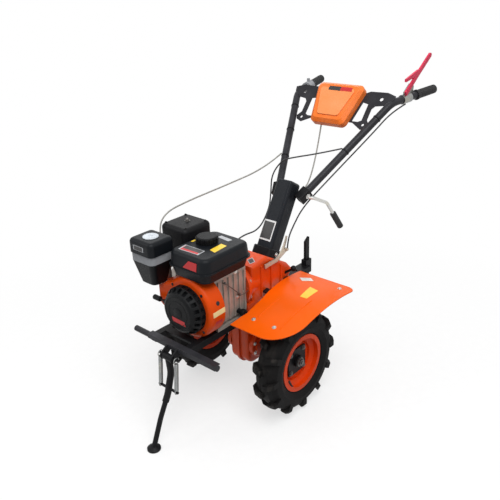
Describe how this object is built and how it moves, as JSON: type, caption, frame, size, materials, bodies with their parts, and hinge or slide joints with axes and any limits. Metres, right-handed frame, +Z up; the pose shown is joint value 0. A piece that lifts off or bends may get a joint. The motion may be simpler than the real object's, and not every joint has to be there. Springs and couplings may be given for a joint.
{
  "type": "walk-behind power weeder",
  "caption": "Walk-behind petrol power weeder: finned engine on a short frame, lugged tyres under fenders, raised handlebars with a console, and a fold-up front stand.",
  "frame": {"origin": "on the ground, at the middle of the length and width", "axes": "+X forward, towards the engine, +Y to the machine's left, +Z up"},
  "size_m": [1.449, 0.668, 1.239],
  "materials": {
    "orange_paint": "gloss paint",
    "orange_casting": "gloss paint on a casting",
    "black_paint": "satin paint",
    "black_plastic": "moulded",
    "orange_plastic": "moulded",
    "cast_aluminium": "as cast",
    "plated_steel": "zinc plated",
    "grey_plastic": "moulded",
    "red_plastic": "moulded",
    "dark_steel": "oxidised",
    "tyre_rubber": "moulded",
    "grip_rubber": "moulded",
    "grey_cable": "extruded sheath",
    "black_cable": "extruded sheath"
  },
  "bodies": {
    "chassis": {"transmission_case": "orange_casting", "axle_bearing_caps": "orange_casting", "crankcase": "cast_aluminium", "cylinder_head": "cast_aluminium", "fan_shroud": "orange_paint", "recoil_starter": "black_plastic", "starter_grip": "black_plastic", "fuel_tank": "black_plastic", "fuel_cap": "black_plastic", "air_cleaner_base": "black_plastic", "air_cleaner_band": "grey_plastic", "air_cleaner_cover": "black_plastic", "carburettor": "cast_aluminium", "muffler_guard": "black_paint", "muffler": "dark_steel", "oil_filler": "black_plastic", "engine_frame": "black_paint", "front_bumper": "black_paint", "stand_bracket": "black_paint", "column_base": "black_paint", "handle_column": "black_paint", "handlebar_clamp": "black_paint", "handlebar_left": "black_paint", "handlebar_right": "black_paint", "grip_left": "grip_rubber", "grip_right": "grip_rubber", "console_bracket": "black_paint", "console_cover": "orange_plastic", "clutch_lever": "red_plastic", "clutch_bracket": "plated_steel", "throttle_lever": "grey_plastic", "lock_lever": "plated_steel", "lock_grip": "grip_rubber", "shift_lever": "plated_steel", "selector_knob": "black_plastic", "fender_left": "orange_paint", "fender_right": "orange_paint", "fender_struts": "black_paint", "rear_hitch": "black_paint", "depth_stake": "black_paint", "throttle_cable": "grey_cable", "stop_wire": "black_cable", "console_wire": "grey_cable", "clutch_cable": "black_cable"},
    "stand": {"stand_leg": "black_paint", "stand_springs": "plated_steel"},
    "wheel_left": {"tyre_left": "tyre_rubber", "rim_left": "orange_paint", "hub_left": "black_paint", "half_shaft_left": "plated_steel"},
    "wheel_right": {"tyre_right": "tyre_rubber", "rim_right": "orange_paint", "hub_right": "black_paint", "half_shaft_right": "plated_steel"}
  },
  "joints": [
    {"name": "wheel_left_roll", "type": "hinge", "parent": "chassis", "child": "wheel_left", "pos_m": [0.17549, 0.236, 0.205], "axis": [0, 1, 0], "continuous": true},
    {"name": "wheel_right_roll", "type": "hinge", "parent": "chassis", "child": "wheel_right", "pos_m": [0.17549, -0.236, 0.205], "axis": [0, 1, 0], "continuous": true},
    {"name": "stand_fold", "type": "hinge", "parent": "chassis", "child": "stand", "pos_m": [0.59349, 0, 0.337], "axis": [0, 1, 0], "range_deg": [0, 75]}
  ]
}
